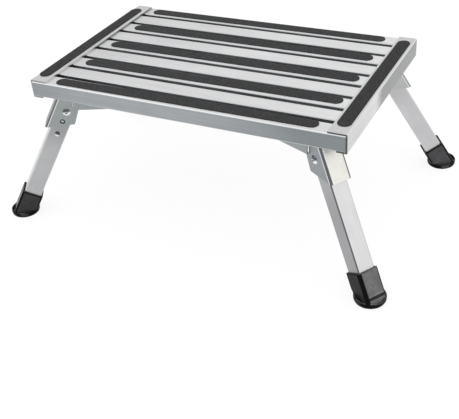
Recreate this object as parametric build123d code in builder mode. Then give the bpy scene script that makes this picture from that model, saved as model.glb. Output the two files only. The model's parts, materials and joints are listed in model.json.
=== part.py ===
from build123d import *
import os
from math import atan2, cos, degrees, radians, sin, tan

os.makedirs("parts", exist_ok=True)

# Millimetres. The floor is z = 0, x runs along the tread and the front edge faces -y.
tread_length = 559.0
tread_width = 345.5
step_height = 257.0

# Tread: closed slat tubes lengthwise between two end channels that lap over and under them.
slat_count = 9
slat_gap = 9.6
slat_height = 27.0
slat_wall = 1.6
slat_corner = 2.2
channel_plate = 2.5
channel_top_width = 30.5
channel_bottom_width = 17.0
channel_inset = 1.0

# Grip tape on every second slat and on both end channels.
grip_thickness = 0.8
grip_side_margin = 4.4
grip_end_margin = 17.5
end_grip_end_margin = 16.0

# Leg pivots, measured from the tread's corners and from the slats' underside.
pivot_inset_x = 43.9
pivot_inset_y = 26.6
pivot_drop = 27.8
leg_plan_angle = 32.8
leg_splay = 30.0

leg_width = 30.0
leg_wall = 1.8
leg_corner = 2.6

# Corner bracket: a plate bent to a channel, its web on the leg's outer side.
bracket_side_gap = 1.4
bracket_plate = 3.0
bracket_bend = 3.0
bracket_web_gap = 5.75
bracket_depth = 24.5
bracket_back = 20.0
bracket_back_lean = 22.0
bracket_corner = 2.0
stop_gap = 0.1
stop_drop = 26.0
stop_length = 10.0
stop_width = 20.0

# Pivot: a rivet held by the bracket, a bush held by the leg.
rivet_radius = 4.0
rivet_head_radius = 7.0
rivet_head_height = 3.0
rivet_dimple_radius = 2.6
rivet_dimple_depth = 1.6
running_fit = 0.05
bush_wall = 2.0
bush_end_play = 0.2

# Spring lock inside the leg: a stud behind the bracket's hole and a button to press lower down.
stud_drop = 19.0
stud_radius = 3.6
stud_proud = 1.0
button_drop = 47.5
button_radius = 4.1
button_proud = 3.2
button_travel = 2.5
button_side_gap = 0.3
lock_hole_radius = 4.6
carrier_plate = 1.0
carrier_width = 12.0
carrier_overlap = 6.5
carrier_gap = 0.1
spring_plate = 0.8
spring_bend = 7.0
spring_clearance = 0.6

# Rubber foot: a square socket over the leg's end and a round cupped sole flat on the floor.
foot_wall = 3.5
foot_corner = 4.5
foot_length = 49.0
foot_floor = 19.4
foot_side_gap = 0.1
foot_mouth_chamfer = 1.0
sole_radius = 25.4
sole_floor_radius = 24.2
sole_offset = -2.6
sole_edge_height = 3.5
sole_lip_height = 9.0
sole_lip = 2.2
sole_plate = 4.5
sole_groove = 1.0
rib_width = 2.4

# Flat bars on edge: a bow along each long side, a rounded V at each end.
bar_height = 23.6
bar_thickness = 3.5
bar_reach = 14.0
bow_vertex = 67.5
bow_radius = 210.0
vee_vertex = 94.5
vee_radius = 36.0

slat_width = (tread_width - (slat_count - 1) * slat_gap) / slat_count
slat_pitch = slat_width + slat_gap
slat_length = tread_length - 2 * channel_plate
slat_top = step_height - channel_plate
slat_underside = slat_top - slat_height
pivot_height = slat_underside - pivot_drop
pivot_x = tread_length / 2 - pivot_inset_x
pivot_y = tread_width / 2 - pivot_inset_y
splay = radians(leg_splay)
plan = radians(leg_plan_angle)

# The leg's own planes, with the pivot as origin: across the leg, and along its side (y runs down it).
leg_plane = Plane(origin=(0, 0, 0), x_dir=(cos(splay), 0, sin(splay)), z_dir=(-sin(splay), 0, cos(splay)))
side_plane = Plane(origin=(0, 0, 0), x_dir=(cos(splay), 0, sin(splay)), z_dir=(0, 1, 0))
spring_plane = Plane(origin=(0, 0, 0), x_dir=(0, 1, 0), z_dir=(-cos(splay), 0, -sin(splay)))
leg_to_floor = pivot_height / cos(splay)
tube_reach = leg_to_floor - foot_floor
foot_rim = leg_to_floor - foot_length


# Tread slats, numbered from the front.
for index in range(slat_count):
    slat_y = (index - (slat_count - 1) / 2) * slat_pitch
    with BuildPart() as slat:
        with BuildSketch(Plane.YZ.offset(-slat_length / 2)):
            with Locations((slat_y, slat_underside + slat_height / 2)):
                RectangleRounded(slat_width, slat_height, slat_corner)
                Rectangle(slat_width - 2 * slat_wall, slat_height - 2 * slat_wall, mode=Mode.SUBTRACT)
        extrude(amount=slat_length)
    slat.part.label = f"slat_{index + 1}"
    export_step(slat.part, f"parts/slat_{index + 1}.step")

    if index % 2 == 0:
        with BuildPart() as grip_strip:
            with BuildSketch(Plane.XY.offset(slat_top)):
                with Locations((0, slat_y)):
                    strip_length = tread_length - 2 * (channel_top_width + grip_end_margin)
                    SlotOverall(strip_length, slat_width - 2 * grip_side_margin)
            extrude(amount=grip_thickness)
        grip_strip.part.label = f"grip_strip_{index + 1}"
        export_step(grip_strip.part, f"parts/grip_strip_{index + 1}.step")


# End channels with their grip strips.
for name, side in (("left", -1), ("right", 1)):
    outer = side * tread_length / 2
    with BuildPart() as end_channel:
        with BuildSketch(Plane.XZ.offset(channel_inset - tread_width / 2)) as channel_section:
            with BuildLine():
                Polyline(
                    (outer, slat_underside - channel_plate),
                    (outer, step_height),
                    (outer - side * channel_top_width, step_height),
                    (outer - side * channel_top_width, slat_top),
                    (outer - side * channel_plate, slat_top),
                    (outer - side * channel_plate, slat_underside),
                    (outer - side * channel_bottom_width, slat_underside),
                    (outer - side * channel_bottom_width, slat_underside - channel_plate),
                    close=True,
                )
            make_face()
            fillet(channel_section.vertices().group_by(Axis.X)[0 if side < 0 else -1], channel_plate * 0.8)
        extrude(amount=tread_width - 2 * channel_inset)
    end_channel.part.label = f"end_channel_{name}"
    export_step(end_channel.part, f"parts/end_channel_{name}.step")

    with BuildPart() as end_grip:
        with BuildSketch(Plane.XY.offset(step_height)):
            with Locations(Location((outer - side * channel_top_width / 2, 0), 90)):
                SlotOverall(tread_width - 2 * end_grip_end_margin, channel_top_width - 2 * grip_side_margin)
        extrude(amount=grip_thickness)
    end_grip.part.label = f"end_grip_{name}"
    export_step(end_grip.part, f"parts/end_grip_{name}.step")


# Bars on edge under the slats; their ends lie along the corner brackets' side walls.
bracket_inside = leg_width / 2 + bracket_side_gap
bracket_half = bracket_inside + bracket_plate
bar_offset = bracket_half + bar_thickness / 2
bow_end = Vector(
    pivot_x - bar_reach * cos(plan) - bar_offset * sin(plan),
    pivot_y - bar_reach * sin(plan) + bar_offset * cos(plan),
)
vee_end = Vector(
    pivot_x - bar_reach * cos(plan) + bar_offset * sin(plan),
    pivot_y - bar_reach * sin(plan) - bar_offset * cos(plan),
)
bar_level = slat_underside - bar_height / 2
bar_paths = {
    "brace_front": ((-bow_end.X, -bow_end.Y), (0, -bow_vertex), (bow_end.X, -bow_end.Y), bow_radius),
    "brace_back": ((-bow_end.X, bow_end.Y), (0, bow_vertex), (bow_end.X, bow_end.Y), bow_radius),
    "brace_left": ((-vee_end.X, -vee_end.Y), (-vee_vertex, 0), (-vee_end.X, vee_end.Y), vee_radius),
    "brace_right": ((vee_end.X, -vee_end.Y), (vee_vertex, 0), (vee_end.X, vee_end.Y), vee_radius),
}
for name, (start, vertex, end, bend) in bar_paths.items():
    with BuildPart() as brace:
        with BuildLine(Plane.XY.offset(bar_level)) as bar_path:
            FilletPolyline(start, vertex, end, radius=bend)
        bar_wire = bar_path.wires()[0]
        with BuildSketch(Plane(origin=bar_wire @ 0, x_dir=(0, 0, 1), z_dir=bar_wire % 0)):
            Rectangle(bar_height, bar_thickness)
        sweep(path=bar_wire)
    brace.part.label = name
    export_step(brace.part, f"parts/{name}.step")


# One corner's pieces, drawn about its pivot: x points outwards, z up, y to the button's side.
web_inside = leg_width / 2 + bracket_web_gap
web_outside = web_inside + bracket_plate
bracket_span = bracket_back + pivot_drop + bracket_depth
back_slope = tan(radians(bracket_back_lean))

with BuildPart() as bracket:
    with BuildSketch(leg_plane.offset(-bracket_span)) as bracket_section:
        with Locations((web_outside - bracket_span, 0)):
            Rectangle(2 * bracket_span, 2 * bracket_half)
        fillet(bracket_section.vertices().sort_by(Axis.X)[-2:], bracket_bend + bracket_plate)
        with BuildSketch(mode=Mode.SUBTRACT) as channel_space:
            with Locations((web_inside - bracket_span, 0)):
                Rectangle(2 * bracket_span, 2 * bracket_inside)
            fillet(channel_space.vertices().sort_by(Axis.X)[-2:], bracket_bend)
    extrude(amount=2 * bracket_span)
    with BuildSketch(Plane.XZ) as side_outline:
        with BuildLine():
            Polyline(
                (-bracket_back - pivot_drop * back_slope, pivot_drop),
                (bracket_span, pivot_drop),
                (bracket_span, -bracket_depth),
                (-bracket_back + bracket_depth * back_slope, -bracket_depth),
                close=True,
            )
        make_face()
        fillet(side_outline.vertices().group_by(Axis.Y)[0].sort_by(Axis.X)[0], bracket_corner)
    extrude(amount=2 * bracket_half, both=True, mode=Mode.INTERSECT)
    with BuildSketch(side_plane):
        Circle(rivet_radius + running_fit)
    extrude(amount=2 * bracket_half, both=True, mode=Mode.SUBTRACT)
    with BuildSketch(side_plane):
        with Locations((0, stud_drop)):
            Circle(lock_hole_radius)
    extrude(amount=2 * bracket_half, mode=Mode.SUBTRACT)
    with BuildSketch(side_plane):
        with Locations(((leg_width / 2 + stop_gap + web_inside) / 2, stop_drop + stop_length / 2)):
            Rectangle(bracket_web_gap - stop_gap, stop_length)
    extrude(amount=stop_width / 2, both=True)

rivet_dome = (rivet_head_radius**2 + rivet_head_height**2) / (2 * rivet_head_height)
with BuildPart() as pivot_rivet:
    with BuildSketch(Plane.XY) as rivet_profile:
        with Locations((rivet_radius / 2, 0)):
            Rectangle(rivet_radius, 2 * bracket_half)
        for end in (-1, 1):
            with BuildLine():
                Line((0, end * bracket_half), (rivet_head_radius, end * bracket_half))
                RadiusArc(
                    (rivet_head_radius, end * bracket_half),
                    (0, end * (bracket_half + rivet_head_height)),
                    -end * rivet_dome,
                )
                Line((0, end * (bracket_half + rivet_head_height)), (0, end * bracket_half))
            make_face()
    revolve(axis=Axis.Y)
    for end in (-1, 1):
        with Locations((0, end * (bracket_half + rivet_head_height + rivet_dimple_radius - rivet_dimple_depth), 0)):
            Sphere(rivet_dimple_radius, mode=Mode.SUBTRACT)

bush_radius = rivet_radius + running_fit + bush_wall
with BuildPart() as pivot_bush:
    with BuildSketch(side_plane):
        Circle(bush_radius)
        Circle(rivet_radius + running_fit, mode=Mode.SUBTRACT)
    extrude(amount=bracket_inside - bush_end_play, both=True)

with BuildPart() as leg_tube:
    with BuildSketch(leg_plane.offset(-tube_reach)):
        RectangleRounded(leg_width, leg_width, leg_corner)
        leg_inside = leg_width - 2 * leg_wall
        RectangleRounded(leg_inside, leg_inside, max(leg_corner - leg_wall, 0.5), mode=Mode.SUBTRACT)
    extrude(amount=tube_reach + leg_width)
    with BuildSketch(side_plane):
        Circle(leg_width / 2)
        with Locations((0, tube_reach / 2)):
            Rectangle(leg_width, tube_reach)
    extrude(amount=leg_width, both=True, mode=Mode.INTERSECT)
    with BuildSketch(side_plane):
        Circle(bush_radius)
    extrude(amount=leg_width, both=True, mode=Mode.SUBTRACT)
    with BuildSketch(side_plane):
        with Locations((0, stud_drop)):
            Circle(stud_radius + button_side_gap)
        with Locations((0, button_drop)):
            Circle(button_radius + button_side_gap)
    extrude(amount=leg_width, mode=Mode.SUBTRACT)

# The carrier strip joins stud and button; pressed, it stops short of the leaf spring behind it.
carrier_face = leg_inside / 2 - carrier_gap
carrier_back = carrier_face - carrier_plate
with BuildPart() as lock_button:
    with BuildSketch(side_plane.offset(carrier_back)):
        with Locations((0, (stud_drop + button_drop) / 2)):
            Rectangle(carrier_width, button_drop - stud_drop + 2 * carrier_overlap)
    extrude(amount=carrier_plate)
    for drop, radius, proud in ((stud_drop, stud_radius, stud_proud), (button_drop, button_radius, button_proud)):
        with BuildSketch(side_plane.offset(carrier_back)):
            with Locations((0, drop)):
                Circle(radius)
        extrude(amount=leg_width / 2 + proud - carrier_back)
        fillet(lock_button.edges().sort_by(Axis.Y)[-1], min(radius, proud) * 0.6)

spring_line = leg_inside / 2 - spring_plate / 2
spring_free = carrier_back - button_travel - spring_clearance - spring_plate / 2
with BuildPart() as lock_spring:
    with BuildLine(spring_plane) as spring_path:
        FilletPolyline(
            (-spring_line, stud_drop),
            (-spring_line, button_drop + 4 * spring_bend),
            (spring_free, button_drop + 4 * spring_bend),
            (spring_free, stud_drop),
            radius=spring_bend,
        )
    spring_wire = spring_path.wires()[0]
    spring_normal = (cos(splay), 0, sin(splay))
    with BuildSketch(Plane(origin=spring_wire @ 0, x_dir=spring_normal, z_dir=spring_wire % 0)):
        Rectangle(carrier_width, spring_plate)
    sweep(path=spring_wire)

floor_level = -pivot_height
sole_centre = pivot_height * tan(splay) + sole_offset
foot_width = leg_width + 2 * foot_wall
funnel_top = foot_length + foot_width
foot_lean = (foot_width / 2 * (cos(splay) + sin(splay)) + funnel_top * tan(splay)) / funnel_top
with BuildPart() as foot:
    with BuildSketch(leg_plane.offset(-foot_rim)):
        RectangleRounded(foot_width, foot_width, foot_corner)
    extrude(amount=-2 * foot_length)
    with BuildSketch(Plane.XZ):
        with BuildLine():
            Polyline(
                (sole_centre, floor_level + sole_groove + 1),
                (sole_centre + sole_radius, floor_level + sole_groove + 1),
                (sole_centre + sole_radius, floor_level + sole_lip_height - 1),
                (sole_centre + sole_radius + funnel_top * foot_lean, floor_level + sole_lip_height + funnel_top),
                (sole_centre, floor_level + sole_lip_height + funnel_top),
                close=True,
            )
        make_face()
    revolve(axis=Axis((sole_centre, 0, 0), (0, 0, 1)), mode=Mode.INTERSECT)
    with BuildSketch(Plane.XZ) as sole_profile:
        with BuildLine():
            Polyline(
                (sole_centre, floor_level),
                (sole_centre + sole_floor_radius, floor_level),
                (sole_centre + sole_radius, floor_level + sole_edge_height),
                (sole_centre + sole_radius, floor_level + sole_lip_height),
                (sole_centre + sole_radius - sole_lip, floor_level + sole_lip_height),
                (sole_centre + sole_radius - 1.5 * sole_lip, floor_level + sole_plate),
                (sole_centre, floor_level + sole_plate),
                close=True,
            )
        make_face()
        for inner in (0.45, 0.7):
            with Locations((sole_centre + sole_floor_radius * inner, floor_level)):
                Rectangle(2 * sole_groove, 2 * sole_groove, mode=Mode.SUBTRACT)
    revolve(axis=Axis((sole_centre, 0, 0), (0, 0, 1)))
    for turn in (-50, 50):
        with BuildSketch(Plane.XY.offset(floor_level + sole_plate / 2)):
            with Locations(Location((sole_centre, 0), turn)):
                with Locations((sole_radius * 0.8, 0)):
                    Rectangle(sole_radius * 0.3, rib_width)
        extrude(amount=sole_lip_height - sole_plate / 2 - 1)
    with BuildSketch(leg_plane.offset(-tube_reach)):
        socket = leg_width + 2 * foot_side_gap
        RectangleRounded(socket, socket, leg_corner)
    extrude(amount=tube_reach, mode=Mode.SUBTRACT)
    rim = foot.faces().sort_by(Axis((0, 0, 0), (-sin(splay), 0, cos(splay))))[-1]
    chamfer(rim.inner_wires()[0].edges(), foot_mouth_chamfer)


# Each corner's pieces turned to their place.
corner_pieces = {
    "bracket": bracket,
    "pivot_rivet": pivot_rivet,
    "pivot_bush": pivot_bush,
    "leg_tube": leg_tube,
    "lock_button": lock_button,
    "lock_spring": lock_spring,
    "foot": foot,
}
corners = {"front_left": (-1, -1), "front_right": (1, -1), "back_left": (-1, 1), "back_right": (1, 1)}
for corner, (side_x, side_y) in corners.items():
    turn = degrees(atan2(side_y * sin(plan), side_x * cos(plan)))
    place = Location((side_x * pivot_x, side_y * pivot_y, pivot_height), (0, 0, turn))
    for piece, drawn in corner_pieces.items():
        with BuildPart() as placed:
            add(drawn.part.moved(place))
        placed.part.label = f"{piece}_{corner}"
        export_step(placed.part, f"parts/{piece}_{corner}.step")
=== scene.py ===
"""Caravan entry step: finishes, weld beads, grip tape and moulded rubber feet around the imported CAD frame."""

from __future__ import annotations

import json
import logging
import math
import random
from dataclasses import dataclass, field
from enum import Enum
from typing import Any, Iterable, Mapping

import bmesh
import bpy
from mathutils import Euler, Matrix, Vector


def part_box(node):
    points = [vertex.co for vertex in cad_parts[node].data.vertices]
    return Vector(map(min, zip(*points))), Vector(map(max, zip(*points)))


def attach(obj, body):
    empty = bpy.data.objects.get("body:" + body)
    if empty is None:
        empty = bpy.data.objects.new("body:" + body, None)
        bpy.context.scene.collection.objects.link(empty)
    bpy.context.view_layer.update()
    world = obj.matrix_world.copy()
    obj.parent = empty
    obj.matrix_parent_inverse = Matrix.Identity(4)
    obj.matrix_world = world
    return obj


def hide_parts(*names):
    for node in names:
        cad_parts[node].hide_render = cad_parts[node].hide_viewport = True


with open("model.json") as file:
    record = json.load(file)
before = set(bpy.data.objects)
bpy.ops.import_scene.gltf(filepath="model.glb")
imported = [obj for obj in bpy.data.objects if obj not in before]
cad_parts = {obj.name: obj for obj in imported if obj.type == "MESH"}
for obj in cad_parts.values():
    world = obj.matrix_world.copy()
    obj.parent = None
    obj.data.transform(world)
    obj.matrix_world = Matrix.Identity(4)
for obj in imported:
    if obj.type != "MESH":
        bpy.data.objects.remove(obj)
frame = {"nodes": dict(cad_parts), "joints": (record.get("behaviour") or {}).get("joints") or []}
LOG = logging.getLogger("entry_step")
MM = 0.001
# The slats' numbers, front to back.
SLATS = range(1, 10)
# The colour sockets of a Mix node, which has a set of sockets for each type, and the setting that uses them.
MIX_A, MIX_B, MIX_RESULT = 6, 7, 2
IN_COLOUR = {"data_type": "RGBA"}
# A Map Range node that eases in and out.
EASED = {"interpolation_type": "SMOOTHSTEP"}
# How squarely a surface has to face a way, as a cosine, where that way's tone begins and where it is full.
SQUARE = (0.93, 0.99)
GLANCING = (0.84, 0.92)
EDGE_ON = (-0.1, 0.1)


class Corner(Enum):
    """The step's corners, as the signs of x and y."""

    FRONT_LEFT = (-1, -1)
    FRONT_RIGHT = (1, -1)
    BACK_LEFT = (-1, 1)
    BACK_RIGHT = (1, 1)

    @property
    def tag(self) -> str:
        """The corner's name as the CAD nodes spell it."""
        return self.name.lower()

    @property
    def hinge(self) -> Mapping[str, Any]:
        """The record's joint that folds this corner's leg."""
        return next(j for j in frame["joints"] if j["name"] == f"leg_fold_{self.tag}")

    @property
    def pivot(self) -> Vector:
        """Where the leg turns, in metres."""
        return Vector(self.hinge["pos_m"])

    @property
    def across(self) -> Vector:
        """The level direction across the leg, along its pivot rivet."""
        return Vector(self.hinge["axis"]).normalized()

    @property
    def outward(self) -> Vector:
        """The level direction in which the leg splays."""
        return self.across.cross(Vector((0, 0, 1)))


def linear(hex_colour: str) -> tuple[float, float, float, float]:
    """Turns an sRGB hex colour to linear light.

    Args:
        hex_colour: Six hex digits after a hash.

    Returns:
        Red, green, blue and an alpha of 1.
    """
    channels = [int(hex_colour[i:i + 2], 16) / 255 for i in (1, 3, 5)]
    red, green, blue = (c / 12.92 if c <= 0.04045 else ((c + 0.055) / 1.055) ** 2.4 for c in channels)
    return red, green, blue, 1.0


def add_node(
    tree: bpy.types.NodeTree, kind: str, links: Mapping[Any, Any] | None = None, **settings: Any,
) -> bpy.types.Node:
    """Adds a node to a tree.

    Args:
        tree: The node tree.
        kind: Blender's node type.
        links: Input name or number to what it takes: a plain value, a socket, or a node for its first output.
        settings: The node's own properties.

    Returns:
        The new node.
    """
    made = tree.nodes.new(kind)
    for name, value in settings.items():
        setattr(made, name, value)
    for key, value in (links or {}).items():
        if isinstance(value, bpy.types.Node):
            value = value.outputs[0]
        if isinstance(value, bpy.types.NodeSocket):
            tree.links.new(value, made.inputs[key])
        else:
            made.inputs[key].default_value = value
    return made


def blank(name: str) -> tuple[bpy.types.Material, bpy.types.NodeTree]:
    """Starts a material.

    Args:
        name: The real material's name.

    Returns:
        The material and its empty node tree.
    """
    material = bpy.data.materials.new(name)
    material.use_nodes = True
    material.node_tree.nodes.clear()
    return material, material.node_tree


def end_in_shader(tree: bpy.types.NodeTree, inputs: Mapping[str, Any]) -> None:
    """Ends a material's tree in its shader.

    Args:
        tree: The node tree.
        inputs: The shader's input names and what they take.
    """
    shader = add_node(tree, "ShaderNodeBsdfPrincipled", inputs)
    add_node(tree, "ShaderNodeOutputMaterial", {"Surface": shader})


@dataclass(frozen=True)
class Grain:
    """How a length of metal or a moulding lies: along it, across it and out of its broad face."""

    along: Vector
    across: Vector
    outward: Vector

    def measure(self, tree: bpy.types.NodeTree, vector: Any) -> list[bpy.types.NodeSocket]:
        """Splits a vector along the three directions.

        Args:
            tree: The node tree.
            vector: The vector's node or socket.

        Returns:
            The three parts' sockets.
        """
        parts = []
        for axis in (self.along, self.across, self.outward):
            part = add_node(tree, "ShaderNodeVectorMath", {0: vector, 1: axis}, operation="DOT_PRODUCT")
            parts.append(part.outputs["Value"])
        return parts


# The slats and bars run from left to right, the end channels from front to back.
SLATWISE = Grain(Vector((1, 0, 0)), Vector((0, 1, 0)), Vector((0, 0, 1)))
ENDWISE = Grain(SLATWISE.across, SLATWISE.along, SLATWISE.outward)


@dataclass(frozen=True)
class Tones:
    """The colours of broad faces, flanks, cut ends and bends. Their differences are painted light and shade:
    each tone stands in for how the studio light falls on surfaces facing that way.
    """

    face: str
    flank: str
    end: str
    bend: str
    # Painted highlight along a bend's glancing side, the second tones of a painted light and shade gradient,
    # and the bend's tone where it leans the plus way across.
    glint: str | None = None
    far_flank: str | None = None
    far_face: str | None = None
    back_bend: str | None = None

    def colour(
        self, tree: bpy.types.NodeTree, grain: Grain, normal: bpy.types.NodeSocket, far: Any = 0.0,
    ) -> bpy.types.NodeSocket:
        """Picks the tone, painted light and shade, by the way the surface faces on the object.

        Args:
            tree: The node tree.
            grain: The piece's directions.
            normal: The surface's direction in the object's own space.
            far: How far the faces and flanks have gone over to their second tones, a painted light and shade
                gradient.

        Returns:
            The colour's socket.
        """
        facing = grain.measure(tree, normal)
        along, across, outward = (
            add_node(tree, "ShaderNodeMath", {0: amount}, operation="ABSOLUTE") for amount in facing
        )
        face, flank = (
            add_node(tree, "ShaderNodeMix", {
                0: far, MIX_A: linear(near), MIX_B: linear(distant or near),
            }, **IN_COLOUR).outputs[MIX_RESULT]
            for near, distant in ((self.face, self.far_face), (self.flank, self.far_flank))
        )
        # Each layer covers those before it where the surface faces its way.
        layers = [(facing[1], EDGE_ON, linear(self.back_bend or self.bend))]
        if self.glint:
            layers.append((across, GLANCING, linear(self.glint)))
        layers += [(along, SQUARE, linear(self.end)), (across, SQUARE, flank), (outward, SQUARE, face)]
        shown = linear(self.bend)
        for amount, (little, fully), tone in layers:
            share = add_node(tree, "ShaderNodeMapRange", {
                "Value": amount, "From Min": little, "From Max": fully,
            }, **EASED)
            mixed = add_node(tree, "ShaderNodeMix", {0: share, MIX_A: shown, MIX_B: tone}, **IN_COLOUR)
            shown = mixed.outputs[MIX_RESULT]
        return shown


@dataclass(frozen=True)
class BrushedAluminium:
    """Extruded aluminium, belt-brushed lengthwise: fine lines stretch every reflection across the bar."""

    name: str
    grain: Grain
    tones: Tones
    roughness: float = 0.34
    line_length_mm: float = 150.0
    # Real brushing lines are about 0.1 mm apart; drawn coarser so that they show.
    line_width_mm: float = 1.4
    contrast: float = 0.07
    cloud_mm: float = 70.0
    cloud_shades: tuple[float, float] = (0.96, 1.03)
    relief_mm: float = 0.05
    # Painted light and shade along the bar: faces and flanks go over to their second tones between these
    # distances from a place along the bar.
    fade_from_mm: float = 0.0
    fade_mm: tuple[float, float] = (0.0, 1.0)

    def build(self) -> bpy.types.Material:
        """Makes the material.

        Returns:
            The finish, ready for a piece.
        """
        material, tree = blank(self.name)
        place = add_node(tree, "ShaderNodeTexCoord")
        spot, normal = place.outputs["Object"], place.outputs["Normal"]
        along, across, outward = self.grain.measure(tree, spot)
        # Lines: long, light and dark, the brushing itself.
        stretch = self.line_width_mm / self.line_length_mm
        run = add_node(tree, "ShaderNodeMath", {0: along, 1: stretch}, operation="MULTIPLY")
        brushed = add_node(tree, "ShaderNodeCombineXYZ", {0: run, 1: across, 2: outward})
        lines = add_node(tree, "ShaderNodeTexNoise", {
            "Vector": brushed, "Scale": 1 / (self.line_width_mm * MM), "Detail": 4.0, "Roughness": 0.62,
        })
        # Clouds: broad and faint, from handling and the uneven pressure of the belt.
        clouds = add_node(tree, "ShaderNodeTexNoise", {
            "Vector": spot, "Scale": 1 / (self.cloud_mm * MM), "Detail": 2.0, "Roughness": 0.55,
        })
        passed = add_node(tree, "ShaderNodeMath", {0: along, 1: self.fade_from_mm * MM}, operation="SUBTRACT")
        distance = add_node(tree, "ShaderNodeMath", {0: passed}, operation="ABSOLUTE")
        far = add_node(tree, "ShaderNodeMapRange", {
            "Value": distance, "From Min": self.fade_mm[0] * MM, "From Max": self.fade_mm[1] * MM,
        }, **EASED)
        colour = self.tones.colour(tree, self.grain, normal, far)
        # The light lines stand out less than the dark ones.
        lightest = 1 + self.contrast * 0.7
        for pattern, dark, light in ((lines, 1 - self.contrast, lightest), (clouds, *self.cloud_shades)):
            factor = add_node(tree, "ShaderNodeMapRange", {
                "Value": pattern, "From Min": 0.3, "From Max": 0.7, "To Min": dark, "To Max": light,
            }, **EASED)
            colour = add_node(tree, "ShaderNodeVectorMath", {0: colour, "Scale": factor}, operation="SCALE")
        rough = add_node(tree, "ShaderNodeMapRange", {
            "Value": lines, "From Min": 0.25, "From Max": 0.75,
            "To Min": self.roughness + 0.06, "To Max": self.roughness - 0.05,
        }, **EASED)
        bump = add_node(tree, "ShaderNodeBump", {
            "Height": lines, "Strength": 0.25, "Distance": self.relief_mm * MM,
        })
        end_in_shader(tree, {"Base Color": colour, "Metallic": 1.0, "Roughness": rough, "Normal": bump})
        return material


@dataclass(frozen=True)
class RolledAluminium:
    """Aluminium plate or bar as rolled, sheared and bent: a soft cloudy grey with small scuffs."""

    name: str
    grain: Grain
    tones: Tones
    roughness: float = 0.36
    cloud_mm: float = 16.0
    cloud_shades: tuple[float, float] = (0.97, 1.02)
    scuff_mm: float = 2.4
    scuff_shade: float = 0.9
    relief_mm: float = 0.05

    def build(self) -> bpy.types.Material:
        """Makes the material.

        Returns:
            The finish, ready for a piece.
        """
        material, tree = blank(self.name)
        place = add_node(tree, "ShaderNodeTexCoord")
        spot, normal = place.outputs["Object"], place.outputs["Normal"]
        # Clouds: the oxide of the rolling mill. Scuffs: knocks from handling, duller than the rest.
        clouds = add_node(tree, "ShaderNodeTexNoise", {
            "Vector": spot, "Scale": 1 / (self.cloud_mm * MM), "Detail": 5.0, "Roughness": 0.6,
        })
        scuffs = add_node(tree, "ShaderNodeTexNoise", {
            "Vector": spot, "Scale": 1 / (self.scuff_mm * MM), "Detail": 3.0, "Roughness": 0.55,
        })
        colour = self.tones.colour(tree, self.grain, normal)
        shades = ((clouds, 0.35, 0.65, *self.cloud_shades), (scuffs, 0.55, 0.75, 1.0, self.scuff_shade))
        for pattern, low, high, at_low, at_high in shades:
            factor = add_node(tree, "ShaderNodeMapRange", {
                "Value": pattern, "From Min": low, "From Max": high, "To Min": at_low, "To Max": at_high,
            }, **EASED)
            colour = add_node(tree, "ShaderNodeVectorMath", {0: colour, "Scale": factor}, operation="SCALE")
        rough = add_node(tree, "ShaderNodeMapRange", {
            "Value": scuffs, "From Min": 0.3, "From Max": 0.7,
            "To Min": self.roughness - 0.05, "To Max": self.roughness + 0.1,
        }, **EASED)
        bump = add_node(tree, "ShaderNodeBump", {
            "Height": scuffs, "Strength": 0.2, "Distance": self.relief_mm * MM,
        })
        end_in_shader(tree, {"Base Color": colour, "Metallic": 1.0, "Roughness": rough, "Normal": bump})
        return material


@dataclass(frozen=True)
class GritTape:
    """Anti-slip tape: silicon carbide grit in black resin, dark and matt with a few glinting grains."""

    name: str = "silicon carbide grip tape"
    resin: str = "#1F1F21"
    grit: str = "#3A3A3C"
    # Real grit is about 0.3 mm; drawn coarser so that it shows.
    grit_mm: float = 1.0
    worn_mm: float = 45.0
    # The roughness of most grains, and that of a smooth facet.
    matt: float = 0.9
    glinting: float = 0.45
    relief_mm: float = 0.25

    def build(self) -> bpy.types.Material:
        """Makes the material.

        Returns:
            The finish, ready for a piece.
        """
        material, tree = blank(self.name)
        spot = add_node(tree, "ShaderNodeTexCoord").outputs["Object"]
        grains = add_node(tree, "ShaderNodeTexVoronoi", {
            "Vector": spot, "Scale": 1 / (self.grit_mm * MM),
        })
        apart = add_node(tree, "ShaderNodeSeparateColor", {"Color": grains.outputs["Color"]})
        wear = add_node(tree, "ShaderNodeTexNoise", {
            "Vector": spot, "Scale": 1 / (self.worn_mm * MM), "Detail": 3.0, "Roughness": 0.55,
        })
        # Each grain has its own grey; where soles have rubbed, more of the pale ones show.
        pick = add_node(tree, "ShaderNodeMapRange", {
            "Value": apart.outputs[0], "From Min": 0.35, "From Max": 1.0, "To Max": 0.8,
        }, **EASED)
        worn = add_node(tree, "ShaderNodeMapRange", {
            "Value": wear, "From Min": 0.3, "From Max": 0.7, "To Min": 0.7, "To Max": 1.25,
        }, **EASED)
        share = add_node(tree, "ShaderNodeMath", {0: pick, 1: worn}, operation="MULTIPLY", use_clamp=True)
        colour = add_node(tree, "ShaderNodeMix", {
            0: share, MIX_A: linear(self.resin), MIX_B: linear(self.grit),
        }, **IN_COLOUR).outputs[MIX_RESULT]
        # One grain in five turns a smoother facet, which glints.
        rough = add_node(tree, "ShaderNodeMapRange", {
            "Value": apart.outputs[1], "From Min": 0.8, "From Max": 1.0,
            "To Min": self.matt, "To Max": self.glinting,
        }, **EASED)
        bump = add_node(tree, "ShaderNodeBump", {
            "Height": grains.outputs["Distance"], "Strength": 0.6, "Distance": self.relief_mm * MM,
        }, invert=True)
        end_in_shader(tree, {"Base Color": colour, "Roughness": rough, "Normal": bump})
        return material


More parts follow.
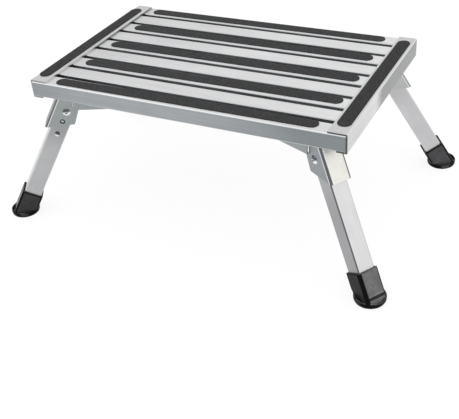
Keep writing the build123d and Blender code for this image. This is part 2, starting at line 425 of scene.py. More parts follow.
@dataclass(frozen=True)
class MouldedRubber:
    """Black moulded rubber: dark with a soft sheen, a fine spark-eroded texture and painted light and shade."""

    name: str
    grain: Grain
    tones: Tones
    # The leg's pivot, from which every place on the boot is measured.
    pivot: Vector
    # Painted dark reflection: how far from the upright outer corners the rounding stays black, and where that
    # has faded.
    ahead_mm: tuple[float, float] = (2.5, 4.5)
    behind_mm: tuple[float, float] = (2.5, 4.5)
    half_width_mm: float = 18.5
    # Down the leg: where the flat socket ends in a painted highlight on its rim, and how far the painted shadow
    # of the recess over the sole goes.
    recess_mm: tuple[float, float] = (222.5, 226.5)
    rim_mm: float = 2.0
    blend_mm: float = 1.0
    # Painted tones: a highlight where the sole faces up, the shadow of the recess over the sole, and a
    # highlight on the socket's rim.
    bloom: str = "#99999A"
    recess: str = "#353537"
    rim: str = "#8E8E8F"
    sheen: float = 0.05
    roughness: float = 0.3
    # The mould's spark-eroded pits are about 0.1 mm; drawn coarser so that they show.
    texture_mm: float = 0.7
    dust_mm: float = 14.0
    relief_mm: float = 0.08

    def build(self) -> bpy.types.Material:
        """Makes the material.

        Returns:
            The finish, ready for a piece.
        """
        material, tree = blank(self.name)
        place = add_node(tree, "ShaderNodeTexCoord")
        spot, normal = place.outputs["Object"], place.outputs["Normal"]
        pores = add_node(tree, "ShaderNodeTexNoise", {
            "Vector": spot, "Scale": 1 / (self.texture_mm * MM), "Detail": 2.0, "Roughness": 0.55,
        })
        # One broad noise places both the real dust and the patches of the painted highlight.
        dust_and_highlight = add_node(tree, "ShaderNodeTexNoise", {
            "Vector": spot, "Scale": 1 / (self.dust_mm * MM), "Detail": 5.0, "Roughness": 0.65,
        })
        offset = add_node(tree, "ShaderNodeVectorMath", {0: spot, 1: self.pivot}, operation="SUBTRACT")
        down, side, out = self.grain.measure(tree, offset)
        colour = self.tones.colour(tree, self.grain, normal)
        on_face = add_node(tree, "ShaderNodeMapRange", {
            "Value": self.grain.measure(tree, normal)[2], "From Min": 0.8, "From Max": 0.95,
        }, **EASED)
        # Rim and recess: a painted highlight on the socket's lower edge, over a painted shadow of the cup it
        # stands in.
        socket_end, recess_end = self.recess_mm
        rim_end = socket_end - self.blend_mm
        bands = ((self.rim, rim_end - self.rim_mm, rim_end), (self.recess, rim_end, recess_end))
        for tone, first, last in bands:
            within = on_face
            for edge, before, after in ((first, 0.0, 1.0), (last, 1.0, 0.0)):
                reached = add_node(tree, "ShaderNodeMapRange", {
                    "Value": down, "From Min": edge * MM, "From Max": (edge + self.blend_mm) * MM,
                    "To Min": before, "To Max": after,
                }, **EASED)
                within = add_node(tree, "ShaderNodeMath", {0: within, 1: reached}, operation="MULTIPLY")
            colour = add_node(tree, "ShaderNodeMix", {
                0: within, MIX_A: colour, MIX_B: linear(tone),
            }, **IN_COLOUR).outputs[MIX_RESULT]
        # Corners: a painted dark reflection, where the rounding would mirror the dark under the step.
        section = add_node(tree, "ShaderNodeCombineXYZ", {0: side, 1: out})
        half = self.half_width_mm * MM
        for sign, (near, gone) in ((-1, self.ahead_mm), (1, self.behind_mm)):
            reach = add_node(tree, "ShaderNodeVectorMath", {
                0: section, 1: Vector((sign * half, half, 0)),
            }, operation="DISTANCE")
            rounding = add_node(tree, "ShaderNodeMapRange", {
                "Value": reach.outputs["Value"], "From Min": near * MM, "From Max": gone * MM,
                "To Min": 1.0, "To Max": 0.0,
            }, **EASED)
            colour = add_node(tree, "ShaderNodeMix", {
                0: rounding, MIX_A: colour, MIX_B: linear(self.tones.bend),
            }, **IN_COLOUR).outputs[MIX_RESULT]
        # Painted highlight: a lighter grey, in patches, where the sole faces the sky and the overhead lamp.
        height = add_node(tree, "ShaderNodeSeparateXYZ", {0: normal}).outputs[2]
        upward = add_node(tree, "ShaderNodeMapRange", {
            "Value": height, "From Min": 0.85, "From Max": 1.0, "To Max": 0.8,
        }, **EASED)
        patches = add_node(tree, "ShaderNodeMapRange", {
            "Value": dust_and_highlight, "From Min": 0.42, "From Max": 0.6, "To Min": 0.25,
        }, **EASED)
        film = add_node(tree, "ShaderNodeMath", {0: upward, 1: patches}, operation="MULTIPLY")
        highlighted = add_node(tree, "ShaderNodeMix", {
            0: film, MIX_A: colour, MIX_B: linear(self.bloom),
        }, **IN_COLOUR).outputs[MIX_RESULT]
        # Dust: faint patches in the pores.
        dusty = add_node(tree, "ShaderNodeMapRange", {
            "Value": dust_and_highlight, "From Min": 0.4, "From Max": 0.75, "To Min": 0.92, "To Max": 1.3,
        }, **EASED)
        shaded = add_node(tree, "ShaderNodeVectorMath", {0: highlighted, "Scale": dusty}, operation="SCALE")
        rough = add_node(tree, "ShaderNodeMapRange", {
            "Value": dust_and_highlight, "From Min": 0.3, "From Max": 0.7,
            "To Min": self.roughness - 0.06, "To Max": self.roughness + 0.12,
        }, **EASED)
        bump = add_node(tree, "ShaderNodeBump", {
            "Height": pores, "Strength": 0.3, "Distance": self.relief_mm * MM,
        })
        end_in_shader(tree, {
            "Base Color": shaded, "Specular IOR Level": self.sheen, "Roughness": rough, "Normal": bump,
        })
        return material


@dataclass(frozen=True)
class PolishedZinc:
    """Bright zinc plate on small domed parts, with a painted reflection: undersides the pale floor, tops the
    dark tread.
    """

    name: str = "bright zinc plate on steel"
    below: str = "#ECEDEF"
    above: str = "#5A5D60"
    roughness: float = 0.16
    crystal_mm: float = 2.0
    # For a row of studs along a leg, whose painted reflection runs light below and dark above each one: how the
    # leg lies, where the first stud is and how far apart they are.
    grain: Grain | None = None
    first_mm: float = 0.0
    pitch_mm: float = 1.0

    def build(self) -> bpy.types.Material:
        """Makes the material.

        Returns:
            The finish, ready for a piece.
        """
        material, tree = blank(self.name)
        place = add_node(tree, "ShaderNodeTexCoord")
        spot, normal = place.outputs["Object"], place.outputs["Normal"]
        # Crystals: the plating's own unevenness, which breaks the line between the painted reflection's light
        # and dark.
        crystals = add_node(tree, "ShaderNodeTexNoise", {
            "Vector": spot, "Scale": 1 / (self.crystal_mm * MM), "Detail": 3.0, "Roughness": 0.55,
        })
        # Painted reflection: dark where the surface faces up towards the tread, light where it faces down to
        # the floor; along a leg, a wave down the leg does the same for the studs.
        height = add_node(tree, "ShaderNodeSeparateXYZ", {0: normal}).outputs[2]
        if self.grain:
            turn = math.tau / (self.pitch_mm * MM)
            along = self.grain.measure(tree, spot)[0]
            phase = add_node(tree, "ShaderNodeMath", {
                0: along, 1: -turn, 2: self.first_mm * MM * turn,
            }, operation="MULTIPLY_ADD")
            height = add_node(tree, "ShaderNodeMath", {0: phase}, operation="SINE")
        tilt = add_node(tree, "ShaderNodeMath", {0: crystals, 1: 0.5, 2: height}, operation="MULTIPLY_ADD")
        share = add_node(tree, "ShaderNodeMapRange", {
            "Value": tilt, "From Min": 0.15, "From Max": 0.55,
        }, **EASED)
        colour = add_node(tree, "ShaderNodeMix", {
            0: share, MIX_A: linear(self.below), MIX_B: linear(self.above),
        }, **IN_COLOUR).outputs[MIX_RESULT]
        rough = add_node(tree, "ShaderNodeMapRange", {
            "Value": crystals, "From Min": 0.2, "From Max": 0.8,
            "To Min": self.roughness - 0.04, "To Max": self.roughness + 0.08,
        }, **EASED)
        end_in_shader(tree, {"Base Color": colour, "Metallic": 1.0, "Roughness": rough})
        return material


@dataclass(frozen=True)
class PlainMetal:
    """Metal whose finish varies only a little: tempered spring steel, weld metal."""

    name: str
    colour: str
    shade: str
    roughness: float
    mottle_mm: float = 2.5
    relief_mm: float = 0.03

    def build(self) -> bpy.types.Material:
        """Makes the material.

        Returns:
            The finish, ready for a piece.
        """
        material, tree = blank(self.name)
        spot = add_node(tree, "ShaderNodeTexCoord").outputs["Object"]
        # Mottle: temper scale or the freezing of the weld, just uneven enough to break a highlight.
        mottle = add_node(tree, "ShaderNodeTexNoise", {
            "Vector": spot, "Scale": 1 / (self.mottle_mm * MM), "Detail": 3.0, "Roughness": 0.55,
        })
        share = add_node(tree, "ShaderNodeMapRange", {
            "Value": mottle, "From Min": 0.35, "From Max": 0.65,
        }, **EASED)
        colour = add_node(tree, "ShaderNodeMix", {
            0: share, MIX_A: linear(self.colour), MIX_B: linear(self.shade),
        }, **IN_COLOUR).outputs[MIX_RESULT]
        rough = add_node(tree, "ShaderNodeMapRange", {
            "Value": mottle, "From Min": 0.2, "From Max": 0.8,
            "To Min": self.roughness - 0.05, "To Max": self.roughness + 0.08,
        }, **EASED)
        bump = add_node(tree, "ShaderNodeBump", {
            "Height": mottle, "Strength": 0.3, "Distance": self.relief_mm * MM,
        })
        end_in_shader(tree, {"Base Color": colour, "Metallic": 1.0, "Roughness": rough, "Normal": bump})
        return material


@dataclass(frozen=True)
class NaturalNylon:
    """Natural nylon: a waxy off-white with faint flow marks from the mould."""

    name: str = "natural nylon"
    colour: str = "#E2DDCF"
    flow: str = "#CFC8B6"
    roughness: float = 0.45
    flow_mm: float = 5.0

    def build(self) -> bpy.types.Material:
        """Makes the material.

        Returns:
            The finish, ready for a piece.
        """
        material, tree = blank(self.name)
        spot = add_node(tree, "ShaderNodeTexCoord").outputs["Object"]
        # Flow marks: where the melt ran together, a little yellower.
        marks = add_node(tree, "ShaderNodeTexNoise", {
            "Vector": spot, "Scale": 1 / (self.flow_mm * MM), "Detail": 3.0, "Roughness": 0.55,
        })
        colour = add_node(tree, "ShaderNodeMix", {
            0: marks, MIX_A: linear(self.colour), MIX_B: linear(self.flow),
        }, **IN_COLOUR).outputs[MIX_RESULT]
        end_in_shader(tree, {"Base Color": colour, "Roughness": self.roughness})
        return material


def dress(node: str, material: bpy.types.Material) -> None:
    """Gives a CAD node its one material.

    Args:
        node: The CAD node's name.
        material: The finish.
    """
    slots = frame["nodes"][node].data.materials
    slots.clear()
    slots.append(material)
    LOG.info("%s dressed in %s", node, material.name)


def piece(
    name: str, mesh: bpy.types.Mesh, material: bpy.types.Material, body: str,
) -> bpy.types.Object:
    """Puts a new mesh in the scene and lets it ride on a CAD body.

    Args:
        name: The piece's name.
        mesh: Its mesh, in the row frame.
        material: Its finish.
        body: The CAD body it moves with.

    Returns:
        The new object.
    """
    made = bpy.data.objects.new(name, mesh)
    bpy.context.scene.collection.objects.link(made)
    mesh.materials.clear()
    mesh.materials.append(material)
    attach(made, body)
    return made


def finished(name: str, shaper: bmesh.types.BMesh) -> bpy.types.Mesh:
    """Turns a bmesh into a smooth-shaded mesh.

    Args:
        name: The mesh's name.
        shaper: The bmesh, which is freed.

    Returns:
        The mesh.
    """
    bmesh.ops.recalc_face_normals(shaper, faces=shaper.faces)
    mesh = bpy.data.meshes.new(name)
    shaper.to_mesh(mesh)
    shaper.free()
    mesh.shade_smooth()
    return mesh


@dataclass
class GripStrip:
    """One strip of grip tape with round ends, laid by hand, its grit standing up from the film."""

    node: str
    finish: bpy.types.Material
    lengthwise: int
    grid_mm: float = 1.6
    grit_mm: float = 0.09
    # The rows of a round end: the first one this far round from its tip, then one every step.
    first_turn_deg: int = 4
    turn_step_deg: int = 8
    # How much shorter than the drawn strip it was cut at its two ends, and how far off the middle of its bar
    # each end lies, towards the back or, on an end channel, towards the right.
    trims_mm: tuple[float, float] = (0.0, 0.0)
    aside_mm: tuple[float, float] = (0.0, 0.0)

    def stations(self, length: float, width: float) -> list[tuple[float, float]]:
        """Works out where the strip's rows lie.

        Args:
            length: The strip's whole length, in metres.
            width: Its width.

        Returns:
            Each row's place along the strip and its half width.
        """
        radius, straight = width / 2, length - width
        turns = [math.radians(a) for a in range(self.first_turn_deg, 90, self.turn_step_deg)]
        first = [(-straight / 2 - radius * math.cos(a), radius * math.sin(a)) for a in turns]
        count = round(straight / (self.grid_mm * MM))
        middle = [(-straight / 2 + straight * k / count, radius) for k in range(count + 1)]
        return first + middle + [(-place, half) for place, half in reversed(first)]

    def build(self) -> bpy.types.Object:
        """Makes the strip in place of its CAD node.

        Returns:
            The strip, riding on the tread.
        """
        low, high = (Vector(corner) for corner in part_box(self.node))
        side = 1 - self.lengthwise
        draw = random.Random(self.node)
        middle = (low + high) / 2
        middle[self.lengthwise] += (self.trims_mm[0] - self.trims_mm[1]) / 2 * MM
        length = high[self.lengthwise] - low[self.lengthwise] - sum(self.trims_mm) * MM
        width = high[side] - low[side]
        columns = round(width / (self.grid_mm * MM))
        shaper = bmesh.new()
        rows = []
        for place, half in self.stations(length, width):
            share = place / length + 0.5
            aside = (self.aside_mm[0] * (1 - share) + self.aside_mm[1] * share) * MM
            row = []
            for k in range(-1, columns + 2):
                across = half * (2 * min(max(k, 0), columns) / columns - 1)
                at = middle.copy()
                at[self.lengthwise] += place
                at[side] += aside + across
                on_edge = k in (-1, columns + 1)
                at.z = low.z if on_edge else high.z - draw.random() * self.grit_mm * MM
                row.append(shaper.verts.new(at))
            rows.append(row)
        for one, two in zip(rows, rows[1:]):
            for k in range(len(one) - 1):
                shaper.faces.new((one[k], one[k + 1], two[k + 1], two[k]))
        shaper.faces.new(rows[0][::-1])
        shaper.faces.new(rows[-1])
        made = piece(f"grip_tape_{self.node}", finished(self.node, shaper), self.finish, "tread")
        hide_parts(self.node)
        LOG.info("%s laid in place of %s", made.name, self.node)
        return made


@dataclass
class TreadDeck:
    """The slats, the two end channels over their ends and the grip tape."""

    # Each strip's trims at its two ends in millimetres, and how far off the middle of its bar each end lies:
    # left and right for the long strips, front and back for the end strips.
    strip_lays: Mapping[int, tuple[float, float, float, float]] = field(default_factory=lambda: {
        1: (-2.8, 1.9, 0.6, 4.0),
        3: (0.8, -6.0, 1.4, 3.7),
        5: (1.6, -4.7, 1.3, 2.1),
        7: (2.0, -0.8, 1.3, 1.5),
        9: (-3.1, 3.4, 0.0, 0.0),
    })
    end_lays: Mapping[str, tuple[float, float, float, float]] = field(default_factory=lambda: {
        "left": (2.3, 1.2, -3.2, -4.0),
        "right": (5.4, -0.5, -0.4, -0.4),
    })
    # Painted light and shade: the front slat and the inner ones are differently lit copies of one finish, and
    # the channels' cut ends are darker on the right, as the lamps light them.
    front_tones: Tones = Tones(
        face="#D7D7D8", flank="#A3A6A9", end="#8A8D8E", bend="#DADBDC", far_flank="#888E90",
    )
    slat_tones: Tones = Tones(
        face="#DADADB", flank="#B4B7B8", end="#8A8D8E", bend="#C0C3C4",
        back_bend="#DADBDC", far_face="#CDCDCE",
    )
    channel_tones: Mapping[str, Tones] = field(default_factory=lambda: {
        side: Tones(face="#C8C8C9", flank="#DEDEDD", end=end, bend="#E2E2E2", far_flank="#98999A")
        for side, end in (("left", "#95989A"), ("right", "#5A5D5F"))
    })

    def build(self) -> None:
        """Dresses the deck and lays its tape."""
        front = BrushedAluminium(
            "brushed aluminium slat, front", SLATWISE, self.front_tones,
            fade_from_mm=-65.0, fade_mm=(90.0, 320.0),
        ).build()
        inner = BrushedAluminium(
            "brushed aluminium slat", SLATWISE, self.slat_tones, fade_from_mm=280.0, fade_mm=(150.0, 560.0),
        ).build()
        tape = GritTape().build()
        end_tape = GritTape("grip tape, end strips", resin="#19191B", grit="#313133").build()
        for index in SLATS:
            dress(f"slat_{index}", front if index == SLATS[0] else inner)
        for side, tones in self.channel_tones.items():
            channel = BrushedAluminium(
                f"brushed aluminium end channel, {side}", ENDWISE, tones,
                fade_from_mm=-172.0, fade_mm=(122.0, 162.0),
            ).build()
            dress(f"end_channel_{side}", channel)
            dress(f"end_grip_{side}", end_tape)
            lay = self.end_lays[side]
            GripStrip(f"end_grip_{side}", end_tape, lengthwise=1, trims_mm=lay[:2], aside_mm=lay[2:]).build()
        for index, lay in self.strip_lays.items():
            dress(f"grip_strip_{index}", tape)
            GripStrip(f"grip_strip_{index}", tape, lengthwise=0, trims_mm=lay[:2], aside_mm=lay[2:]).build()


@dataclass(frozen=True)
class LegTones:
    """The painted light and shade of one corner, as the studio lights it: the tones of its tube, bracket and
    rubber boot.
    """

    tube_face: str
    tube_flank: str
    tube_low_flank: str
    tube_bend: str
    bracket_face: str
    bracket_flank: str
    bracket_bend: str
    boot_flank: str
    boot_face: str = "#4C4C4D"
    tube_back_bend: str = "#C4C6C6"
    # How far the boot's painted dark reflection at one upright corner stays black, and where it has faded.
    boot_corner_mm: tuple[float, float] = (2.5, 4.5)


@dataclass
class FoldingLeg:
    """One corner's bracket, pivot, tube, spring lock and rubber foot."""

    corner: Corner
    tones: LegTones
    splay_deg: float = 30.0
    # Where the painted reflection's light and dark meet on the lock's stud and on its button, down from the
    # pivot.
    stud_line_mm: float = 20.5
    button_line_mm: float = 48.0
    voxel_mm: float = 0.8
    soften_rounds: int = 5

    @property
    def grain(self) -> Grain:
        """Works out the leg's own directions.

        Returns:
            Down the leg, across it and out of its outer face.
        """
        splay = math.radians(self.splay_deg)
        up = Vector((0, 0, 1))
        outward = self.corner.outward
        return Grain(
            outward * math.sin(splay) - up * math.cos(splay),
            self.corner.across,
            outward * math.cos(splay) + up * math.sin(splay),
        )

    @property
    def pivot_mm(self) -> float:
        """Where the pivot lies along the leg's own direction."""
        return self.corner.pivot.dot(self.grain.along) / MM

    def soften(self, node: str) -> None:
        """Rounds the foot's edges as a mould does, with a fine even mesh that is then smoothed.

        Args:
            node: The foot's CAD node.
        """
        foot = frame["nodes"][node]
        even = foot.modifiers.new("even_mesh", "REMESH")
        even.mode = "VOXEL"
        even.voxel_size = self.voxel_mm * MM
        even.use_smooth_shade = True
        soft = foot.modifiers.new("mould_radii", "SMOOTH")
        soft.factor = 0.5
        soft.iterations = self.soften_rounds
        LOG.info("%s softened", node)

    def build(self, zinc: bpy.types.Material, spring: bpy.types.Material, nylon: bpy.types.Material) -> None:
        """Dresses the corner.

        Args:
            zinc: The pivot rivet's finish.
            spring: The leaf spring's finish.
            nylon: The bush's finish.
        """
        tag, words, tones = self.corner.tag, self.corner.tag.replace("_", " "), self.tones
        # Each corner has its own copies of the finishes, painted lighter or darker by its tones as the studio
        # lights that corner.
        tube = BrushedAluminium(
            f"satin aluminium tube, {words}", self.grain,
            Tones(
                face=tones.tube_face, flank=tones.tube_flank, end="#8A8D8E", bend=tones.tube_bend,
                far_flank=tones.tube_low_flank, back_bend=tones.tube_back_bend,
            ),
            roughness=0.38, line_width_mm=1.0, contrast=0.03, cloud_mm=50.0,
            fade_from_mm=self.pivot_mm, fade_mm=(30.0, 85.0),
        ).build()
        plate = RolledAluminium(
            f"bent aluminium plate, {words}", self.grain,
            Tones(
                face=tones.bracket_face, flank=tones.bracket_flank, end="#A9ADAE", bend=tones.bracket_bend,
                glint="#E9E8E4",
            ),
        ).build()
        rubber = MouldedRubber(
            f"moulded black rubber, {words}", self.grain,
            Tones(face=tones.boot_face, flank=tones.boot_flank, end="#29292B", bend="#0C0C0D"),
            pivot=self.corner.pivot, ahead_mm=tones.boot_corner_mm,
        ).build()
        lock = PolishedZinc(
            f"bright zinc plate on lock button, {words}", grain=self.grain,
            first_mm=self.pivot_mm + self.stud_line_mm, pitch_mm=self.button_line_mm - self.stud_line_mm,
        ).build()
        finish_of = {
            "leg_tube": tube, "bracket": plate, "foot": rubber, "pivot_rivet": zinc, "lock_button": lock,
            "lock_spring": spring, "pivot_bush": nylon,
        }
        for kind, finish in finish_of.items():
            dress(f"{kind}_{tag}", finish)
        self.soften(f"foot_{tag}")


@dataclass
class WeldSeams:
    """The bright beads that join the bars, brackets and channels under the tread."""

    finish: bpy.types.Material
    radius_mm: float = 2.4
    ripple_mm: float = 2.2
    sides: int = 8
    rings_per_ripple: int = 4
    least_rings: int = 6
    # As shares of the radius: the bead between two ripples, a ripple's height, its unevenness and its wander.
    valley: float = 0.78
    crest: float = 0.2
    uneven: float = 0.12
    wander: float = 0.2
    # How late the bead thins out towards its ends, and how thin it gets.
    fullness: int = 6
    thinnest: float = 0.02
    seed: int = 7

    def bead(self, shaper: bmesh.types.BMesh, start: Vector, end: Vector, draw: random.Random) -> None:
        """Lays one rippled bead between two points.

        Args:
            shaper: The bmesh that takes the bead.
            start: Where the bead starts, in metres.
            end: Where it ends.
            draw: The source of its unevenness.
        """
        run = end - start
        ripples = run.length / (self.ripple_mm * MM)
        steps = max(self.least_rings, round(ripples * self.rings_per_ripple))
        along = run.normalized()
        across = along.orthogonal().normalized()
        up = along.cross(across)
        rings = []
        for step in range(steps + 1):
            share = step / steps
            ripple = abs(math.sin(math.pi * share * ripples))
            swell = math.sqrt(max(self.thinnest, 1 - abs(2 * share - 1) ** self.fullness))
            thickness = self.valley + self.crest * ripple + self.uneven * (draw.random() - 0.5)
            radius = self.radius_mm * MM * swell * thickness
            centre = start + run * share + across * self.radius_mm * MM * self.wander * (draw.random() - 0.5)
            rings.append([
                shaper.verts.new(centre + radius * (across * math.cos(a) + up * math.sin(a)))
                for a in (math.tau * k / self.sides for k in range(self.sides))
            ])
        for one, two in zip(rings, rings[1:]):
            for k in range(self.sides):
                shaper.faces.new((one[k], one[k - 1], two[k - 1], two[k]))
        shaper.faces.new(rings[0])
        shaper.faces.new(rings[-1][::-1])

    def lay(self, name: str, seams: Iterable[tuple[Vector, Vector]]) -> bpy.types.Object:
        """Makes one piece of several beads.

        Args:
            name: The piece's name.
            seams: The two ends of each bead, in metres.

        Returns:
            The piece, riding on the tread.
        """
        shaper = bmesh.new()
        draw = random.Random(f"{self.seed}{name}")
        for start, end in seams:
            self.bead(shaper, start, end, draw)
        made = piece(name, finished(name, shaper), self.finish, "tread")
        LOG.info("%s laid", name)
        return made


@dataclass
class Underframe:
    """The bars on edge under the slats, and the beads that weld everything to the tread."""

    bar_tones: Tones = Tones(face="#A9ADAE", flank="#A9ADAE", end="#8E9293", bend="#9CA0A2")
    # Where the bars end on the brackets' walls, in from the pivot, and how far the welds there stop short.
    bar_end_mm: float = 14.0
    bar_weld_inset_mm: float = 1.0
    # The rounding of the bracket's bends, which its welds leave out, and how far they stop short of its rear.
    bracket_bend_mm: float = 6.0
    bracket_weld_inset_mm: float = 2.0
    # The short welds: their length, how far they lie in from a channel's outer face, and how far from the
    # middle of the step those of the bowed bars are.
    spot_mm: float = 12.0
    flange_mm: float = 17.0
    bow_weld_mm: float = 104.0
    # How near to the slats' underside a point of the CAD mesh counts as on it.
    near_mm: float = 0.1

    @property
    def underside(self) -> float:
        """The height of the slats' underside, in metres."""
        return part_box("slat_1")[0][2]

    def bracket_seams(self, corner: Corner) -> list[tuple[Vector, Vector]]:
        """Finds the seams between a bracket's top edge and the slats, and at the bar ends on its walls.

        Args:
            corner: The bracket's corner.

        Returns:
            The ends of each seam.
        """
        top = self.underside
        plate = frame["nodes"][f"bracket_{corner.tag}"].data
        flat = [v.co for v in plate.vertices if v.co.z > top - self.near_mm * MM]
        outs = [(v - corner.pivot).dot(corner.outward) for v in flat]
        sides = [(v - corner.pivot).dot(corner.across) for v in flat]
        half, rear, front = max(sides), min(outs), max(outs)
        bend, short, inset = (
            size * MM for size in (self.bracket_bend_mm, self.bracket_weld_inset_mm, self.bar_weld_inset_mm)
        )

        def at(out: float, side: float, height: float = top) -> Vector:
            """A point by its place on the corner's own directions."""
            spot = corner.pivot + corner.outward * out + corner.across * side
            return Vector((spot.x, spot.y, height))

        seams = [(at(rear + short, side), at(front - bend, side)) for side in (-half, half)]
        seams.append((at(front, bend - half), at(front, half - bend)))
        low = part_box("brace_front")[0][2]
        bar_end = -self.bar_end_mm * MM
        seams += [(at(bar_end, side, low + inset), at(bar_end, side, top - inset)) for side in (-half, half)]
        return seams

    def spot_seams(self, side: str) -> list[tuple[Vector, Vector]]:
        """Finds the short welds between an end channel's lower flange and each slat.

        Args:
            side: Left or right.

        Returns:
            The ends of each weld.
        """
        low, high = (Vector(c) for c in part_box(f"end_channel_{side}"))
        top, half = self.underside, self.spot_mm * MM / 2
        sign = -1 if side == "left" else 1
        edge = sign * (max(abs(low.x), abs(high.x)) - self.flange_mm * MM)
        seams = []
        for index in SLATS:
            slat_low, slat_high = (Vector(c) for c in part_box(f"slat_{index}"))
            middle = (slat_low.y + slat_high.y) / 2
            seams.append((Vector((edge, middle - half, top)), Vector((edge, middle + half, top))))
        return seams

    def bow_seams(self, side: str) -> list[tuple[Vector, Vector]]:
        """Finds the two short welds on the hollow side of a bowed bar, where it crosses the second slat.

        Args:
            side: Front or back.

        Returns:
            The ends of each weld.
        """
        top = self.underside
        sign = -1 if side == "front" else 1
        bar = frame["nodes"][f"brace_{side}"].data
        facing = [face for face in bar.polygons if face.normal.y * sign > 0.5]
        hollow = [bar.vertices[i].co for face in facing for i in face.vertices]
        # Rounded to a hundredth of a millimetre, so that a point shared by two faces counts once.
        rim = sorted({(round(v.x, 5), round(v.y, 5)) for v in hollow if v.z > top - self.near_mm * MM})
        seams = []
        for middle in (-self.bow_weld_mm, self.bow_weld_mm):
            ends = []
            for x in ((middle - self.spot_mm / 2) * MM, (middle + self.spot_mm / 2) * MM):
                (x0, y0), (x1, y1) = next(p for p in zip(rim, rim[1:]) if p[0][0] <= x <= p[1][0])
                ends.append(Vector((x, y0 + (y1 - y0) * (x - x0) / (x1 - x0), top)))
            seams.append((ends[0], ends[1]))
        return seams

    def build(self) -> None:
        """Dresses the bars and lays the welds."""
        bar = RolledAluminium("rolled aluminium bar", SLATWISE, self.bar_tones).build()
        for name in ("front", "back", "left", "right"):
            dress(f"brace_{name}", bar)
        beads = WeldSeams(PlainMetal(
            "aluminium weld metal", colour="#F2F3F3", shade="#A4A8AA", roughness=0.2, mottle_mm=1.8,
        ).build())
        for corner in Corner:
            beads.lay(f"bracket_welds_{corner.tag}", self.bracket_seams(corner))
        for side in ("left", "right"):
            beads.lay(f"channel_welds_{side}", self.spot_seams(side))
        for side in ("front", "back"):
            beads.lay(f"bow_welds_{side}", self.bow_seams(side))


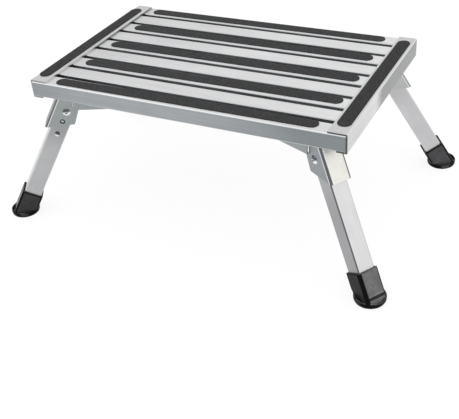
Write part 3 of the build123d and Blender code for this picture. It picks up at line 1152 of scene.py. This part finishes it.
@dataclass
class Studio:
    """A pale floor, a white surround, three soft lamps and the camera."""

    lens_mm: float = 63.284
    camera_place: tuple[float, float, float] = (0.60937, -1.10219, 0.83047)
    camera_turn_deg: tuple[float, float, float] = (54.856, 4.277, 26.634)
    surround_on_matt: float = 0.62
    floor_size: float = 12.0
    # The floor as it lights the step, and as it looks: a thin shade over a glow.
    floor_grey: str = "#E2E2E2"
    floor_shade: str = "#7A7A7A"
    floor_glow: float = 0.87
    # Each lamp's place and side in metres and its power in watts, and the height they all look at.
    lamps: Mapping[str, tuple[tuple[float, float, float], float, float]] = field(default_factory=lambda: {
        "lamp_overhead": ((0.3, -0.2, 2.6), 4.5, 18.0),
        "lamp_right": ((2.2, -0.9, 1.3), 1.6, 4.0),
        "lamp_left": ((-1.9, -1.4, 1.2), 1.6, 5.0),
    })
    aim_height: float = 0.15

    def seen_rays(self, tree: bpy.types.NodeTree) -> bpy.types.NodeSocket:
        """Gives 1 for camera, glossy and transmission rays and 0 for the rest.

        Args:
            tree: The node tree that takes the nodes.

        Returns:
            The socket with that share.
        """
        path = add_node(tree, "ShaderNodeLightPath")
        either = add_node(tree, "ShaderNodeMath", {
            0: path.outputs["Is Camera Ray"], 1: path.outputs["Is Glossy Ray"],
        }, operation="MAXIMUM")
        return add_node(tree, "ShaderNodeMath", {
            0: either, 1: path.outputs["Is Transmission Ray"],
        }, operation="MAXIMUM").outputs[0]

    def build_camera(self) -> None:
        """Sets the camera at the photograph's viewpoint."""
        lens = bpy.data.cameras.new("camera")
        lens.lens = self.lens_mm
        camera = bpy.data.objects.new("camera", lens)
        camera.location = self.camera_place
        camera.rotation_euler = Euler([math.radians(a) for a in self.camera_turn_deg])
        bpy.context.scene.collection.objects.link(camera)
        bpy.context.scene.camera = camera

    def build_surround(self) -> None:
        """Makes the white world, dimmer where it lights matt surfaces."""
        world = bpy.data.worlds.new("surround")
        bpy.context.scene.world = world
        world.use_nodes = True
        tree = world.node_tree
        tree.nodes.clear()
        seen = self.seen_rays(tree)
        strength = add_node(tree, "ShaderNodeMapRange", {
            "Value": seen, "To Min": self.surround_on_matt, "To Max": 1.0,
        })
        glow = add_node(tree, "ShaderNodeBackground", {"Color": linear("#FFFFFF"), "Strength": strength})
        add_node(tree, "ShaderNodeOutputWorld", {"Surface": glow})

    def build_floor(self) -> None:
        """Lays the floor, which looks white and keeps a faint shadow."""
        half = self.floor_size / 2
        mesh = bpy.data.meshes.new("studio_floor")
        corners = [(-half, -half, 0), (half, -half, 0), (half, half, 0), (-half, half, 0)]
        mesh.from_pydata(corners, [], [(0, 1, 2, 3)])
        floor = bpy.data.objects.new("studio_floor", mesh)
        bpy.context.scene.collection.objects.link(floor)
        material, tree = blank("white studio vinyl")
        pale = add_node(tree, "ShaderNodeBsdfDiffuse", {"Color": linear(self.floor_grey)})
        thin = add_node(tree, "ShaderNodeBsdfDiffuse", {"Color": linear(self.floor_shade)})
        glow = add_node(tree, "ShaderNodeEmission", {"Color": linear("#FFFFFF"), "Strength": self.floor_glow})
        shown = add_node(tree, "ShaderNodeAddShader", {0: thin, 1: glow})
        mix = add_node(tree, "ShaderNodeMixShader", {0: self.seen_rays(tree), 1: pale, 2: shown})
        add_node(tree, "ShaderNodeOutputMaterial", {"Surface": mix})
        mesh.materials.append(material)

    def lamp(self, name: str, place: tuple[float, float, float], size: float, watts: float) -> None:
        """Hangs one square soft lamp that looks at the step.

        Args:
            name: The lamp's name.
            place: Where it hangs, in metres.
            size: Its side, in metres.
            watts: Its power.
        """
        light = bpy.data.lights.new(name, "AREA")
        light.shape = "SQUARE"
        light.size = size
        light.energy = watts
        hung = bpy.data.objects.new(name, light)
        hung.location = place
        aim = Vector((0, 0, self.aim_height)) - Vector(place)
        hung.rotation_euler = aim.to_track_quat("-Z", "Y").to_euler()
        bpy.context.scene.collection.objects.link(hung)

    def build(self) -> None:
        """Builds the whole studio."""
        self.build_camera()
        self.build_surround()
        self.build_floor()
        for name, (place, size, watts) in self.lamps.items():
            self.lamp(name, place, size, watts)
        bpy.context.scene.view_settings.view_transform = "Standard"


def main() -> None:
    """Builds the studio, dresses the step and adds the pieces that the CAD leaves out."""
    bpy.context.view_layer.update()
    Studio().build()
    TreadDeck().build()
    Underframe().build()
    zinc = PolishedZinc().build()
    spring = PlainMetal("tempered spring steel", colour="#7F8285", shade="#63666A", roughness=0.3).build()
    nylon = NaturalNylon().build()
    # Each corner's painted light and shade, as the studio lights that corner.
    tones = {
        Corner.FRONT_LEFT: LegTones(
            tube_face="#DADADA", tube_flank="#A2A4A6", tube_low_flank="#BABBBD", tube_bend="#C9CBCB",
            bracket_face="#8C8E90", bracket_flank="#9CA2A2", bracket_bend="#6A6D6E", boot_flank="#474748",
        ),
        Corner.FRONT_RIGHT: LegTones(
            tube_face="#D2D2D2", tube_flank="#B2B1B4", tube_low_flank="#A4A4A7", tube_bend="#64686B",
            bracket_face="#DEDDD6", bracket_flank="#989DA0", bracket_bend="#62656A", boot_flank="#363638",
            boot_face="#7D7D7E", boot_corner_mm=(4.4, 6.8),
        ),
        Corner.BACK_LEFT: LegTones(
            tube_face="#D2D2D2", tube_flank="#B2B5B5", tube_low_flank="#BDC1C1", tube_bend="#C4C6C6",
            bracket_face="#B4B6B7", bracket_flank="#A6A8AB", bracket_bend="#8C8F90", boot_flank="#343436",
        ),
        Corner.BACK_RIGHT: LegTones(
            tube_face="#D0D0D0", tube_flank="#BBBBBC", tube_low_flank="#C8C8CA", tube_bend="#CECED0",
            bracket_face="#D4D3CE", bracket_flank="#B6B8B9", bracket_bend="#A0A3A4", boot_flank="#5A5A5C",
        ),
    }
    for corner, leg_tones in tones.items():
        FoldingLeg(corner, leg_tones).build(zinc, spring, nylon)


if __name__ == "__main__":
    logging.basicConfig(level=logging.INFO)
    main()
